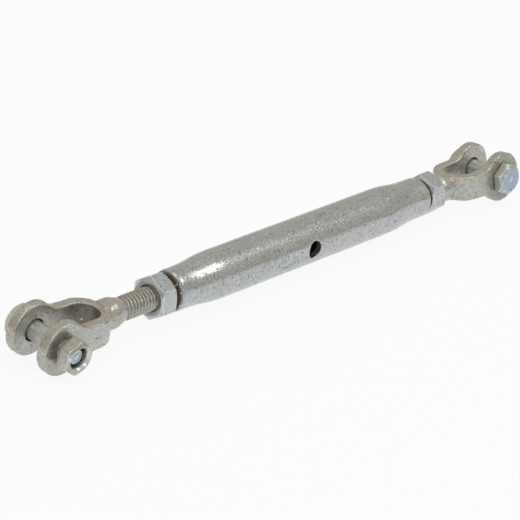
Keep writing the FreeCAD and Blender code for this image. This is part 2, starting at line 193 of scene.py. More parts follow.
def spin(stations, angles):
    """Vertices of rings along X; each station is a place and a radius, or one radius per angle."""
    rings = []
    for place, radius in stations:
        radius = np.broadcast_to(radius, angles.shape)
        place = np.broadcast_to(place, angles.shape)
        rings.append(np.stack([place, radius * np.cos(angles), radius * np.sin(angles)], axis=1))
    return np.concatenate(rings)


def quad(row, column, columns):
    """Face between one ring of a grid of rings and the next."""
    ahead = (column + 1) % columns
    base = row * columns
    return base + column, base + ahead, base + columns + ahead, base + columns + column


def ring_faces(rows, columns):
    """Faces between neighbouring rings."""
    return [quad(row, column, columns) for row in range(rows - 1) for column in range(columns)]


def capped_faces(rows, columns):
    """Faces between neighbouring rings, and one that closes each end."""
    end = (rows - 1) * columns
    caps = [tuple(range(columns))[::-1], tuple(range(end, end + columns))]
    return ring_faces(rows, columns) + caps


def loop_faces(first, second):
    """Faces between two closed loops of vertex numbers."""
    return [(first[i - 1], first[i], second[i], second[i - 1]) for i in range(len(first))]


def shifted(faces, count):
    """The faces with every vertex number raised by a count."""
    return [tuple(index + count for index in face) for face in faces]


def soft_least(first, second, soft):
    """The smaller of two, with the corner between them rounded."""
    share = np.clip(0.5 + 0.5 * (second - first) / soft, 0, 1)
    return second * (1 - share) + first * share - soft * share * (1 - share)


def turned(points, degrees):
    """Points turned about X."""
    angle = math.radians(degrees)
    c, s = math.cos(angle), math.sin(angle)
    x, y, z = np.asarray(points).T
    return np.stack([x, y * c - z * s, y * s + z * c], axis=1)


def dented(points, amount, scale, seed):
    """Points with small uneven shifts, as zinc and handling leave them."""
    shift = np.stack([fine_noise(points, scale, seed + axis, octaves=2) for axis in range(3)], axis=1)
    return points + amount * shift


# Tube

TUBE_SIDES = 168
OUTSIDE_STATIONS = 118
INSIDE_STATIONS = 60
RIM_STATIONS = 12
RIM_FIRST_TURN = 0.15
WALL_STEPS = 8

# Round each end of the cross hole the wall is a patch of rings: how far it reaches along the tube, its
# stations on each side of the hole, and how far each ring is from the hole's edge, as a share of the way
PATCH_REACH = 8.4
PATCH_STATIONS = 15
PATCH_RINGS = np.concatenate([np.linspace(1, 0.16, 9)[1:], np.linspace(0.13, 0, 6)])
HOLE_ROUND_OUTSIDE = 1.1
HOLE_ROUND_INSIDE = 0.3


def tube_outline(place):
    """Outer radius of the tube at a distance from its middle."""
    taper_end = HALF_BODY - COLLAR_LENGTH
    taper_start = taper_end - TAPER_LENGTH
    slope = (TUBE_RADIUS - COLLAR_RADIUS) / TAPER_LENGTH
    flank = TUBE_RADIUS - slope * (place - taper_start)
    soft = slope * TAPER_BLEND
    if place > (taper_start + taper_end) / 2:
        radius = -soft_least(-COLLAR_RADIUS, -flank, soft)
    else:
        radius = soft_least(TUBE_RADIUS, flank, soft)
    edge = (place - HALF_BODY) / RIM_ROUND_LONG + 1
    if edge > 0:
        radius -= RIM_ROUND_DEEP * (1 - math.sqrt(max(1 - edge ** 2, 0)))
    return radius


def inside_outline(place):
    """Inner radius of the tube at a distance from its middle."""
    bore_start = HALF_BODY - TAPPED_LENGTH
    narrow = bore_start - (HALF_BODY - COLLAR_LENGTH - TAPER_LENGTH)
    if place > HALF_BODY - COUNTERSINK:
        return BORE_RADIUS + COUNTERSINK - (HALF_BODY - place)
    if place > bore_start:
        return BORE_RADIUS
    if place > bore_start - narrow:
        return BORE_RADIUS + (TUBE_INSIDE - BORE_RADIUS) * (bore_start - place) / narrow
    return TUBE_INSIDE


def tube_places(count):
    """Stations from the patch round the cross hole to the rim, closer together at the end."""
    straight = np.linspace(PATCH_REACH, HALF_BODY - RIM_ROUND_LONG, count)
    turns = np.linspace(RIM_FIRST_TURN, math.pi / 2, RIM_STATIONS)
    rounding = HALF_BODY - RIM_ROUND_LONG * (1 - np.sin(turns))
    return np.concatenate([straight, rounding])


def patch_rims(first, last):
    """Rims of the two patches as loops of vertex numbers, and the faces that the patches stand for."""
    width = int(round(PATCH_REACH / (TUBE_RADIUS * 2 * math.pi / TUBE_SIDES)))
    rims, left_out = [], set()
    for centre in (0, TUBE_SIDES // 2):
        columns = [(centre + step) % TUBE_SIDES for step in range(-width, width + 1)]
        left_out.update((row, column) for row in range(first, last) for column in columns[:-1])
        rim = [(row, columns[0]) for row in range(first, last)]
        rim += [(last, column) for column in columns[:-1]]
        rim += [(row, columns[-1]) for row in range(last, first, -1)]
        rim += [(first, column) for column in columns[:0:-1]]
        rims.append([row * TUBE_SIDES + column for row, column in rim])
    return rims, left_out


def hole_patch(rim, around, radius, outside, start):
    """Rings from a patch's rim to the cross hole's rounded edge, as vertices, faces and the last loop."""
    side = np.sign(around[0, 1])
    turns = np.arctan2(around[:, 2], around[:, 0])
    hole = np.stack([np.cos(turns), np.sin(turns)], axis=1) * BAR_HOLE_RADIUS
    edge = HOLE_ROUND_OUTSIDE if outside else HOLE_ROUND_INSIDE
    rings, faces = [], []
    loop = rim
    for share in PATCH_RINGS:
        flat = hole + (around[:, [0, 2]] - hole) * share
        away = np.hypot(flat[:, 0], flat[:, 1]) - BAR_HOLE_RADIUS
        dip = np.where(away < edge, edge - np.sqrt(np.maximum(edge ** 2 - (edge - away) ** 2, 0)), 0)
        depth = np.sqrt(radius ** 2 - flat[:, 1] ** 2) + (-dip if outside else dip)
        rings.append(np.stack([flat[:, 0], side * depth, flat[:, 1]], axis=1))
        ring = list(range(start, start + len(rim)))
        start += len(rim)
        faces += loop_faces(loop, ring)
        loop = ring
    return rings, faces, loop


def wall(radius_of, outside):
    """Outer or inner wall of the tube, as vertices, faces, the hole's two edges and the two end rims."""
    half = tube_places(OUTSIDE_STATIONS if outside else INSIDE_STATIONS)
    middle = np.linspace(-PATCH_REACH, PATCH_REACH, 2 * PATCH_STATIONS + 1)
    places = np.concatenate([-half[:0:-1], middle, half[1:]])
    angles = np.arange(TUBE_SIDES) / TUBE_SIDES * 2 * math.pi
    tube = spin([(place, radius_of(abs(place))) for place in places], angles)
    first = len(half) - 1
    rims, left_out = patch_rims(first, first + 2 * PATCH_STATIONS)
    rows = len(places) - 1
    faces = [quad(row, column, TUBE_SIDES) for row in range(rows) for column in range(TUBE_SIDES)
             if (row, column) not in left_out]
    vertices, holes = [tube], []
    start = len(tube)
    for rim in rims:
        rings, patch_faces, hole = hole_patch(rim, tube[rim], radius_of(0), outside, start)
        start += len(rings) * len(rim)
        vertices += rings
        faces += patch_faces
        holes.append(hole)
    ends = [list(range(row * TUBE_SIDES, (row + 1) * TUBE_SIDES)) for row in (0, rows)]
    return np.concatenate(vertices), faces, holes, ends


def make_tube():
    """Tube whose outer and inner walls are joined through the cross hole and at the ends."""
    outer, outer_faces, outer_holes, outer_ends = wall(tube_outline, True)
    inner, inner_faces, inner_holes, inner_ends = wall(inside_outline, False)
    vertices = [outer, inner]
    faces = outer_faces + shifted(inner_faces, len(outer))
    start = len(outer) + len(inner)
    for outer_loop, inner_loop in zip(outer_holes + outer_ends, inner_holes + inner_ends):
        near, far = outer[outer_loop], inner[inner_loop]
        loop = outer_loop
        for share in np.linspace(0, 1, WALL_STEPS)[1:-1]:
            vertices.append(near + (far - near) * share)
            ring = list(range(start, start + len(near)))
            start += len(near)
            faces += loop_faces(ring, loop)
            loop = ring
        faces += loop_faces([index + len(outer) for index in inner_loop], loop)
    piece = mesh_object("tube", wear_tube(np.concatenate(vertices)), faces, "tube", "tube_galvanised",
                        "pipe_body")
    face_outwards(piece)
    add_dirt_and_painted_light(piece, tube_grime)
    return piece


# Unevenness of the tube's skin in millimetres: long waves, short ones, the swaged ends' creases, how far
# all of it lies inside the solid's outline, and how far from the inner wall it starts
SKIN_WAVES = 0.07
SKIN_RIPPLES = 0.035
SWAGING_CREASES = 0.07
SKIN_INWARDS = 0.09
SKIN_FROM = 0.6
# The creases' noise is drawn out along the tube, and goes round it on a ring of this radius
CREASE_STRETCH = 0.05
CREASE_RING = 6


def wear_tube(vertices):
    """Slightly uneven skin, and the faint creases that swaging leaves on tapers and collars."""
    radius = np.hypot(vertices[:, 1], vertices[:, 2])
    turn = np.arctan2(vertices[:, 2], vertices[:, 1])
    outside = radius > TUBE_INSIDE + SKIN_FROM
    swaged = share_of(np.abs(vertices[:, 0]), none=62.0, full=74.0)
    waves = fine_noise(vertices, scale=0.06, seed=1, octaves=2)
    ripples = fine_noise(vertices, scale=0.45, seed=2, octaves=3)
    streaks = np.stack([vertices[:, 0] * CREASE_STRETCH, CREASE_RING * np.cos(turn),
                        CREASE_RING * np.sin(turn)], axis=1)
    creases = fine_noise(streaks, scale=0.55, seed=3, octaves=3)
    change = SKIN_WAVES * waves + SKIN_RIPPLES * ripples + SWAGING_CREASES * swaged * creases - SKIN_INWARDS
    factor = np.where(outside, 1 + change / np.maximum(radius, 1), 1)
    result = vertices.copy()
    result[:, 1] *= factor
    result[:, 2] *= factor
    return result


# Dirt on the inner wall and as far out from it as this depth, in the middle and near the ends
INSIDE_DIRT = 0.95
INSIDE_DIRT_DEPTH = 1.6
END_DIRT = 0.8
END_DIRT_LENGTH = 3.0

# Dark marks on the tube: place along it, angle from +Y toward +Z, half length along and round it, strength
TUBE_MARKS = (
    (-24.0, -164, 0.8, 0.6, 0.9),
    (-21.2, -162, 1.3, 0.4, 0.7),
    (-18.7, -167, 0.9, 0.4, 0.8),
    (-15.8, -169, 0.7, 0.5, 0.8),
    (-13.4, -170, 0.6, 0.5, 0.7),
    (-23.0, 165, 0.5, 0.7, 0.5),
    (-18.9, 156, 0.6, 0.9, 0.4),
    (-15.6, 178, 1.4, 0.4, 0.45),
    (12.2, 104, 1.2, 0.5, 0.7),
    (16.1, 99, 0.9, 0.6, 0.8),
    (26.4, 98, 0.7, 0.5, 0.8),
    (34.1, 113, 0.6, 0.5, 0.8),
    (42.4, -176, 0.9, 0.5, 0.5),
    (36.3, -170, 0.7, 0.5, 0.5),
    (-52.0, 120, 0.8, 0.5, 0.6),
    (-38.0, 146, 0.7, 0.6, 0.5),
    (20.0, 20, 1.2, 0.6, 0.7),
    (-45.0, -60, 1.4, 0.5, 0.6),
    (50.0, -20, 0.9, 0.7, 0.7),
    # Faint smudges
    (63.3, 139, 5.0, 2.2, 0.20),
    (72.1, 132, 6.0, 2.0, 0.22),
    (80.5, 124, 5.0, 1.6, 0.18),
    (-70.0, 40, 5.0, 2.0, 0.3),
    (60.0, 60, 4.0, 1.5, 0.3),
)


def tube_grime(places):
    """Rust-brown inside, and dark marks on the outside."""
    radius = np.hypot(places[:, 1], places[:, 2])
    turn = np.arctan2(places[:, 2], places[:, 1])
    inner = radius < TUBE_INSIDE + INSIDE_DIRT_DEPTH
    deep = np.abs(places[:, 0]) < HALF_BODY - END_DIRT_LENGTH
    amounts = np.where(inner, np.where(deep, INSIDE_DIRT, END_DIRT), 0.0)
    for along, angle, half_long, half_round, strength in TUBE_MARKS:
        off_round = (turn - math.radians(angle) + math.pi) % (2 * math.pi) - math.pi
        off = ((places[:, 0] - along) / half_long) ** 2 + (off_round * TUBE_RADIUS / half_round) ** 2
        mark = strength * share_of(off, none=1.6, full=0.6)
        amounts = np.maximum(amounts, np.where(inner, 0, mark))
    return amounts


# Nuts and bolts

ANGLES_PER_SIDE = 22
CORNER_CROWDING = 1.7
CHAMFER_EDGE = (0.04, 0.12, 0.22)
CHAMFER_START = 0.34
CHAMFER_STATIONS = 12
NUT_CHAMFER = math.tan(math.radians(60))
NUT_CHAMFER_REACH = 1.8
NUT_CHAMFER_SOFT = 0.12
NUT_LIP = 0.15
NUT_LIP_DEPTH = 0.1
# Radius of the smallest ring in a round face's middle
CENTRE_RING = 0.02


def corner_angles():
    """Angles round a hexagon, closer together at its corners."""
    spread = np.linspace(-1, 1, ANGLES_PER_SIDE, endpoint=False)
    half = np.sign(spread) * np.abs(spread) ** CORNER_CROWDING * math.pi / 6
    return np.concatenate([half + side * math.pi / 3 for side in range(6)])


def hexagon(angles, flats, soft):
    """Radius of a hexagon with slightly rounded corners, a corner at angle zero."""
    sector = (angles + math.pi / 6) % (math.pi / 3) - math.pi / 6
    one = flats / 2 / np.cos(sector + math.pi / 6)
    other = flats / 2 / np.cos(sector - math.pi / 6)
    return soft_least(one, other, soft)


def chamfer_depths(reach):
    """Depths below a hexagon's face of the rings along its chamfer, closer together at the edge."""
    return np.concatenate([CHAMFER_EDGE, np.linspace(CHAMFER_START, reach, CHAMFER_STATIONS)])


def hex_nut(flats, thickness, bore, countersink, face_share, soft):
    """Chamfered hexagon nut from the origin along +X, as vertices and faces."""
    angles = corner_angles()
    shape = hexagon(angles, flats, soft)
    face = flats / 2 * face_share
    mouth = bore + countersink
    flat_face = np.linspace(mouth + NUT_LIP, face - NUT_LIP, 7)
    edge = face - NUT_CHAMFER_SOFT / 2
    outline = [(depth, soft_least(shape, edge + NUT_CHAMFER * depth, NUT_CHAMFER_SOFT))
               for depth in chamfer_depths(NUT_CHAMFER_REACH)]
    stations = [(0.0, radius) for radius in flat_face]
    stations += outline
    middle = np.linspace(NUT_CHAMFER_REACH, thickness - NUT_CHAMFER_REACH, 8)[1:-1]
    stations += [(place, shape) for place in middle]
    stations += [(thickness - depth, radius) for depth, radius in reversed(outline)]
    stations += [(thickness, radius) for radius in reversed(flat_face)]
    stations += [(thickness - NUT_LIP_DEPTH, mouth), (thickness - countersink, bore)]
    stations += [(place, bore) for place in np.linspace(thickness - countersink, countersink, 8)[1:-1]]
    stations += [(countersink, bore), (NUT_LIP_DEPTH, mouth)]
    count = len(angles)
    end = (len(stations) - 1) * count
    faces = ring_faces(len(stations), count)
    faces += [(end + i, end + (i + 1) % count, (i + 1) % count, i) for i in range(count)]
    return spin(stations, angles), faces


def thread_wave(phase):
    """0 on the crest and 1 in the root of a rounded thread."""
    swing = 0.5 - 0.5 * np.cos(2 * math.pi * phase)
    return np.clip(1.25 * swing - 0.12, 0, 1)


HEAD_CORNER_SOFT = 0.26
HEAD_FACE_SHARE = 0.89
HEAD_CHAMFER = math.tan(math.radians(50))
HEAD_CHAMFER_REACH = 1.7
HEAD_CHAMFER_SOFT = 0.15
HEAD_EDGE_INWARDS = 0.08
# Places before the head's seat, and what is taken off the hexagon there to round its edge
SEAT_EDGE = ((-0.06, 0.06), (0.0, 0.3))
SEAT_EDGE_START = -0.25
HEAD_FILLET = 0.5
HEAD_FILLET_MIDDLE = 0.15
CLEVIS_THREAD_DEPTH = 0.7
CLEVIS_THREAD_STEP = 0.2
CLEVIS_RUN_IN = 2.0


def bolt_shape(length):
    """Clevis bolt along X from its head's seat, the head towards -X and the threaded end towards +X."""
    angles = corner_angles()
    shape = hexagon(angles, CLEVIS_FLATS, HEAD_CORNER_SOFT)
    face = CLEVIS_FLATS / 2 * HEAD_FACE_SHARE
    stations = [(-CLEVIS_HEAD, radius) for radius in np.linspace(CENTRE_RING, face - 0.2, 9)]
    edge = face - HEAD_EDGE_INWARDS
    for depth in chamfer_depths(HEAD_CHAMFER_REACH):
        radius = soft_least(shape, edge + HEAD_CHAMFER * depth, HEAD_CHAMFER_SOFT)
        stations.append((depth - CLEVIS_HEAD, radius))
    sides = np.linspace(HEAD_CHAMFER_REACH - CLEVIS_HEAD, SEAT_EDGE_START, 5)[1:]
    stations += [(place, shape) for place in sides]
    stations += [(place, shape - taken) for place, taken in SEAT_EDGE]
    stations += [(0, shape * 0.7 + CLEVIS_RADIUS * 0.3), (0, CLEVIS_RADIUS + HEAD_FILLET)]
    stations.append((HEAD_FILLET_MIDDLE, CLEVIS_RADIUS + HEAD_FILLET_MIDDLE))
    plain_end = length - CLEVIS_THREADED
    stations += [(place, CLEVIS_RADIUS) for place in np.linspace(HEAD_FILLET, plain_end, 16)]
    point_start = length - CLEVIS_POINT_LENGTH
    for place in np.arange(plain_end + CLEVIS_THREAD_STEP, point_start, CLEVIS_THREAD_STEP):
        run_in = min(1.0, (place - plain_end) / CLEVIS_RUN_IN)
        wave = thread_wave(place / CLEVIS_PITCH - angles / (2 * math.pi))
        stations.append((place, CLEVIS_RADIUS - CLEVIS_THREAD_DEPTH * run_in * wave))
    stations += [(point_start + 0.1, CLEVIS_RADIUS - 0.45), (length - 0.2, CLEVIS_POINT_RADIUS + 0.1)]
    stations += [(length, radius) for radius in np.linspace(CLEVIS_POINT_RADIUS - 0.2, CENTRE_RING, 6)]
    return spin(stations, angles), capped_faces(len(stations), len(angles))


def to_bolt(points, pin, way, turn):
    """From along +X to the bolt axis of a jaw; way is the side of Y that +X becomes."""
    x, y, z = np.asarray(points).T
    placed = np.stack([-way * y, way * x, z], axis=1)
    return turned(placed, turn) + np.array([pin, 0, 0])


LOCK_NUT_DIRT = 0.75
CLEVIS_NUT_DIRT = 0.1
# Painted tan reflection of the warm room on the bolts' shanks and head sides
SHANK_PAINTED_REFLECTION = 0.6
HEAD_SIDE_PAINTED_REFLECTION = 0.7
# Share of a nut's flats that its dirty face takes up, and how much less dirt there is at its edge
DIRTY_FACE = 0.9
DIRT_LOSS = 0.55


def face_grime(off_axis, flats, bore, strength):
    """Dirt on a nut's end faces and in its bore, thinner towards the rim."""
    radius = np.hypot(off_axis[:, 0], off_axis[:, 1])
    face = flats / 2 * DIRTY_FACE
    outwards = share_of(radius, none=bore, full=face)
    return np.where(radius < face, strength * (1 - DIRT_LOSS * outwards), 0)


def bolt_painted_reflection(places, pin):
    """Painted tan reflection of the warm room on the shank as far as just outside the ears, and on the
    sides of the head.
    """
    radius = np.hypot(places[:, 0] - pin, places[:, 2])
    shank = (radius < CLEVIS_RADIUS + 0.3) & (np.abs(places[:, 1]) < EAR_FACE + 2)
    head_sides = radius > CLEVIS_FLATS / 2 * 0.95
    return np.where(shank, SHANK_PAINTED_REFLECTION, np.where(head_sides, HEAD_SIDE_PAINTED_REFLECTION, 0))


def make_lock_nut(side, face, way, corner, seed):
    """Lock nut from its face beside the tube; way is the side of X that it runs to."""
    points, faces = hex_nut(LOCK_NUT_FLATS, LOCK_NUT_THICKNESS, BORE_RADIUS, COUNTERSINK,
                            face_share=0.90, soft=0.45)
    points = turned(dented(points, amount=0.03, scale=0.5, seed=seed), corner)
    points[:, 0] = face + way * points[:, 0]
    nut = mesh_object(f"lock_nut_{side}_piece", points, faces, f"{side}_lock_nut", "lock_nut_galvanised",
                      f"lock_nut_{side}")
    face_outwards(nut)
    add_dirt_and_painted_light(nut, lambda spots: face_grime(spots[:, 1:], LOCK_NUT_FLATS, BORE_RADIUS, LOCK_NUT_DIRT))
    return nut


def make_clevis_bolt(side, pin, way, turn, length, play, corner, seed):
    """Clevis bolt in a jaw, its head clear of the ear by its play."""
    points, faces = bolt_shape(length)
    points = turned(dented(points, amount=0.02, scale=0.6, seed=seed), corner)
    points[:, 0] -= EAR_FACE + play
    bolt = mesh_object(f"clevis_bolt_{side}_piece", to_bolt(points, pin, way, turn), faces, f"{side}_bolt",
                       "bolt_zinc", f"clevis_bolt_{side}")
    face_outwards(bolt)
    add_dirt_and_painted_light(bolt, lambda spots: bolt_painted_reflection(turned(spots, -turn), pin))
    return bolt


def make_clevis_nut(side, pin, way, turn, thickness, play, corner, seed):
    """Nut on a clevis bolt, clear of the ear by its play."""
    bore = CLEVIS_RADIUS + CLEVIS_NUT_CLEARANCE
    points, faces = hex_nut(CLEVIS_FLATS, thickness, bore, CLEVIS_COUNTERSINK, face_share=0.86, soft=1.3)
    points = turned(dented(points, amount=0.03, scale=0.6, seed=seed), corner)
    points[:, 0] += EAR_FACE + play
    nut = mesh_object(f"clevis_nut_{side}_piece", to_bolt(points, pin, way, turn), faces, f"{side}_bolt",
                      "clevis_nut_galvanised", f"clevis_nut_{side}")
    face_outwards(nut)
    add_dirt_and_painted_light(nut, lambda spots: face_grime(turned(spots, -turn)[:, [0, 2]] - (pin, 0), CLEVIS_FLATS,
                                            CLEVIS_RADIUS, CLEVIS_NUT_DIRT))
    return nut


# Jaws

STUD_SIDES = 84
STUD_STEP = 0.26
# Depth of the stud's start inside the neck, and how much the crests lie inside the solid
STUD_OVERLAP = 0.6
STUD_INWARDS = 0.05
THREAD_FADE_IN = 2.2
STUD_POINT = 1.6

FORGING_VOXEL = 0.40 * MM
CUT_MARGIN = 0.02
# Unevenness of the forging in millimetres, as for the tube's skin
FORGED_WAVES = 0.10
FORGED_RIPPLES = 0.045
FORGED_INWARDS = 0.04

# Dirt and painted shade in the thread's roots, at the neck's end and in the left jaw's throat
THREAD_DIRT_AND_SHADE = 0.6
NECK_END_DIRT_AND_SHADE = 0.85
THROAT_DIRT_AND_SHADE = {"left": 0.62, "right": 0.0}
# Painted shade round the bolt on the near ear, on the right jaw only
EAR_PAINTED_SHADE = {"left": 0.0, "right": 0.55}
# How far below the solid's crests the dirt and painted shade in the thread begin, and how far up and down
# the throat's goes
CLEAN_CREST = 0.25
THROAT_DIRT_AND_SHADE_HALF = 7.6


def stud_shape(hand):
    """Threaded stud along +X from the neck's end; hand is 1 for a right-hand thread and -1 for a left."""
    angles = np.arange(STUD_SIDES) / STUD_SIDES * 2 * math.pi
    crest = STUD_RADIUS - STUD_INWARDS
    root = STUD_RADIUS - THREAD_DEPTH
    tip = STUD_RADIUS - STUD_POINT
    stations = [(-STUD_OVERLAP, radius) for radius in (CENTRE_RING, 2.0, 4.0, root - STUD_INWARDS)]
    for place in np.arange(0.0, STUD_LENGTH - 0.05, STUD_STEP):
        wave = thread_wave(place / STUD_PITCH - hand * angles / (2 * math.pi))
        radius = crest - THREAD_DEPTH * wave
        if place < THREAD_FADE_IN:
            radius = radius - (crest - root) * (1 - place / THREAD_FADE_IN) * (1 - wave)
        left = STUD_LENGTH - place
        if left < STUD_POINT:
            radius = np.minimum(radius, tip + left)
        stations.append((place, radius))
    stations += [(STUD_LENGTH, radius) for radius in (tip - 0.2, 3.0, 1.5, CENTRE_RING)]
    return spin(stations, angles), capped_faces(len(stations), STUD_SIDES)


def forging(node, pin, way):
    """A solid's fork and neck, cut off where the thread starts and softened: places, normals and faces."""
    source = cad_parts[node]
    mesh = source.data.copy()
    thread_at = (pin + way * PIN_TO_THREAD) * MM
    work = bmesh.new()
    work.from_mesh(mesh)
    work.transform(source.matrix_world)
    bmesh.ops.remove_doubles(work, verts=work.verts, dist=1e-6)
    cut = bmesh.ops.bisect_plane(
        work, geom=work.verts[:] + work.edges[:] + work.faces[:], dist=1e-7,
        plane_co=(thread_at - way * CUT_MARGIN * MM, 0, 0), plane_no=(way, 0, 0), clear_outer=True)
    rim = [item for item in cut["geom_cut"] if isinstance(item, bmesh.types.BMEdge)]
    bmesh.ops.holes_fill(work, edges=rim)
    work.to_mesh(mesh)
    work.free()
    rough = bpy.data.objects.new("forging", mesh)
    bpy.context.scene.collection.objects.link(rough)
    remesh = rough.modifiers.new("remesh", "REMESH")
    remesh.mode = "VOXEL"
    remesh.voxel_size = FORGING_VOXEL
    smooth = rough.modifiers.new("smooth", "SMOOTH")
    smooth.factor = 0.5
    smooth.iterations = 2
    graph = bpy.context.evaluated_depsgraph_get()
    forged = bpy.data.meshes.new_from_object(rough.evaluated_get(graph))
    bpy.data.objects.remove(rough)
    places = np.empty(len(forged.vertices) * 3)
    normals = np.empty(len(forged.vertices) * 3)
    forged.vertices.foreach_get("co", places)
    forged.vertex_normals.foreach_get("vector", normals)
    faces = [tuple(face.vertices) for face in forged.polygons]
    return places.reshape(-1, 3) / MM, normals.reshape(-1, 3), faces


def make_jaw(side, pin, way, hand, turn, seed):
    """Forged fork and neck, slightly uneven, with its threaded stud; way is the side of X it points to."""
    places, normals, faces = forging(f"jaw_{side}", pin, way)
    waves = fine_noise(places, scale=0.16, seed=seed, octaves=2)
    ripples = fine_noise(places, scale=0.75, seed=seed + 1, octaves=2)
    change = FORGED_WAVES * waves + FORGED_RIPPLES * ripples - FORGED_INWARDS
    places = places + normals * change[:, None]
    stud, stud_faces = stud_shape(hand)
    stud = stud * np.array([way, way, 1])
    stud[:, 0] += pin + way * PIN_TO_THREAD
    faces += shifted(stud_faces, len(places))
    jaw = mesh_object(f"jaw_{side}_forged", np.concatenate([places, stud]), faces, f"{side}_jaw",
                      "jaw_galvanised", f"jaw_{side}")
    add_dirt_and_painted_light(jaw, lambda spots: jaw_dirt_and_painted_shade(turned(spots, -turn), (spots[:, 0] - pin) * way, side))
    return jaw


def jaw_dirt_and_painted_shade(places, along, side):
    """Dirt and painted shade in the thread's roots, at the neck's end and in the throat, and painted shade
    on the near ear, of an upright jaw.

    The distance along the jaw is measured from the bolt's axis.
    """
    radius = np.hypot(places[:, 1], places[:, 2])
    clean = STUD_RADIUS - CLEAN_CREST
    depth = share_of(radius, none=clean, full=clean - THREAD_DEPTH)
    # Dirt and painted shade in the thread's roots
    thread = np.where(along > PIN_TO_THREAD, THREAD_DIRT_AND_SHADE * depth, 0)
    # Dirt and painted shade in the step at the neck's end
    neck_end = NECK_END_DIRT_AND_SHADE * share_of(np.abs(along - PIN_TO_THREAD), none=1.04, full=0.24)
    # Dirt and painted shade deep in the throat
    centre = THROAT_DEPTH - FORK_GAP / 2
    across = np.abs(places[:, 1])
    to_wall = np.where(along < centre, across, np.hypot(across, along - centre)) - FORK_GAP / 2
    inner = share_of(np.abs(to_wall), none=0.6, full=0.2) * (np.abs(places[:, 2]) < THROAT_DIRT_AND_SHADE_HALF)
    deep = share_of(along, none=7.0, full=25.0) * (along < THROAT_DEPTH + 1)
    throat = THROAT_DIRT_AND_SHADE[side] * inner * deep
    # Painted shade on the near ear round the bolt
    near_face = places[:, 1] < -EAR_FACE + 0.5
    ear = EAR_PAINTED_SHADE[side] * share_of(np.hypot(along, places[:, 2]), none=18.2, full=5.2) * near_face
    return np.maximum.reduce([thread, neck_end, throat, ear])


# Materials

# Sockets of the Mix node that hold colours
MIX_FIRST = 6
MIX_SECOND = 7
MIX_RESULT = 2

# Colour of dirt, which on the jaws is partly painted shade
DARK_STAIN_AND_PAINTED_SHADE = (0.080, 0.055, 0.034)
BLOT_BROWN = (0.20, 0.165, 0.12)
SPECK_BROWN = (0.07, 0.055, 0.035)
# Brown dirt and painted shade in corners
CORNER_DIRT_AND_SHADE_BROWN = (0.085, 0.062, 0.038)
# Painted shade: grey darkening of sheltered places
PAINTED_SHADE_GREY = (0.17, 0.17, 0.14)
# Rubbed zinc with a painted highlight on sharp edges
EDGE_WEAR_AND_HIGHLIGHT = (0.84, 0.84, 0.81)
# Reaches of the corners' dirt and painted shade, and of the painted shade in sheltered places
CORNER_DIRT_AND_SHADE_REACH = 2.2 * MM
PAINTED_SHADE_REACH = 14.0 * MM
# Depths of the bump in millimetres
PIT_DEPTH = 0.05
GRAIN_DEPTH = 0.022
WAVE_DEPTH = 0.06


def node_material(name):
    """New material, with its node tree and its shader node."""
    material = bpy.data.materials.new(name)
    material.use_nodes = True
    tree = material.node_tree
    return material, tree, tree.nodes["Principled BSDF"]


def link(tree, source, target):
    tree.links.new(source, target)


def noise_node(tree, coordinates, scale, detail, roughness):
    """Noise of 0 to 1, its scale in features a metre."""
    item = tree.nodes.new("ShaderNodeTexNoise")
    item.inputs["Scale"].default_value = scale
    item.inputs["Detail"].default_value = detail
    item.inputs["Roughness"].default_value = roughness
    link(tree, coordinates, item.inputs["Vector"])
    return item.outputs["Fac"]


def math_node(tree, operation, *values):
    """Result of a Math node on links or plain numbers."""
    item = tree.nodes.new("ShaderNodeMath")
    item.operation = operation
    for socket, value in zip(item.inputs, values):
        if isinstance(value, float):
            socket.default_value = value
        else:
            link(tree, value, socket)
    return item.outputs[0]


def ramp(tree, value, stops):
    """Colour ramp; each stop is a place and a colour or a grey."""
    item = tree.nodes.new("ShaderNodeValToRGB")
    band = item.color_ramp
    while len(band.elements) < len(stops):
        band.elements.new(0.5)
    for element, (place, colour) in zip(band.elements, stops):
        element.position = place
        element.color = (*colour, 1) if isinstance(colour, tuple) else (colour, colour, colour, 1)
    link(tree, value, item.inputs["Fac"])
    return item.outputs["Color"]


def blend_colour(tree, share, first, second):
    """Mix of two colours, each a link or a plain colour, by a share that is a link."""
    item = tree.nodes.new("ShaderNodeMix")
    item.data_type = "RGBA"
    link(tree, share, item.inputs["Factor"])
    for socket, value in ((item.inputs[MIX_FIRST], first), (item.inputs[MIX_SECOND], second)):
        if isinstance(value, tuple):
            socket.default_value = (*value, 1)
        else:
            link(tree, value, socket)
    return item.outputs[MIX_RESULT]


def closed_in(tree, reach, stops):
    """Share by how closed in a place is within a reach."""
    item = tree.nodes.new("ShaderNodeAmbientOcclusion")
    item.samples = 6
    item.inputs["Distance"].default_value = reach
    return ramp(tree, item.outputs["AO"], stops)


def side_tan_and_reflection_share(tree, mottle, amount):
    """Share of tan on faces that don't face along Y, partly a painted reflection of the warm room, broken
    up by the mottle.
    """
    split = tree.nodes.new("ShaderNodeSeparateXYZ")
    link(tree, tree.nodes.new("ShaderNodeTexCoord").outputs["Normal"], split.inputs["Vector"])
    size = math_node(tree, "ABSOLUTE", split.outputs["Y"])
    sideways = ramp(tree, size, [(0.45, amount), (0.80, 0.0)])
    uneven = ramp(tree, mottle, [(0.35, 0.5), (0.60, 1.0)])
    return math_node(tree, "MULTIPLY", sideways, uneven)


def add_bump(tree, shader, layers):
    """Layers of bump, each a height and its depth in millimetres."""
    previous = None
    for height, depth in layers:
        item = tree.nodes.new("ShaderNodeBump")
        item.inputs["Strength"].default_value = 1.0
        item.inputs["Distance"].default_value = depth * MM
        link(tree, height, item.inputs["Height"])
        if previous is not None:
            link(tree, previous, item.inputs["Normal"])
        previous = item.outputs["Normal"]
    link(tree, previous, shader.inputs["Normal"])


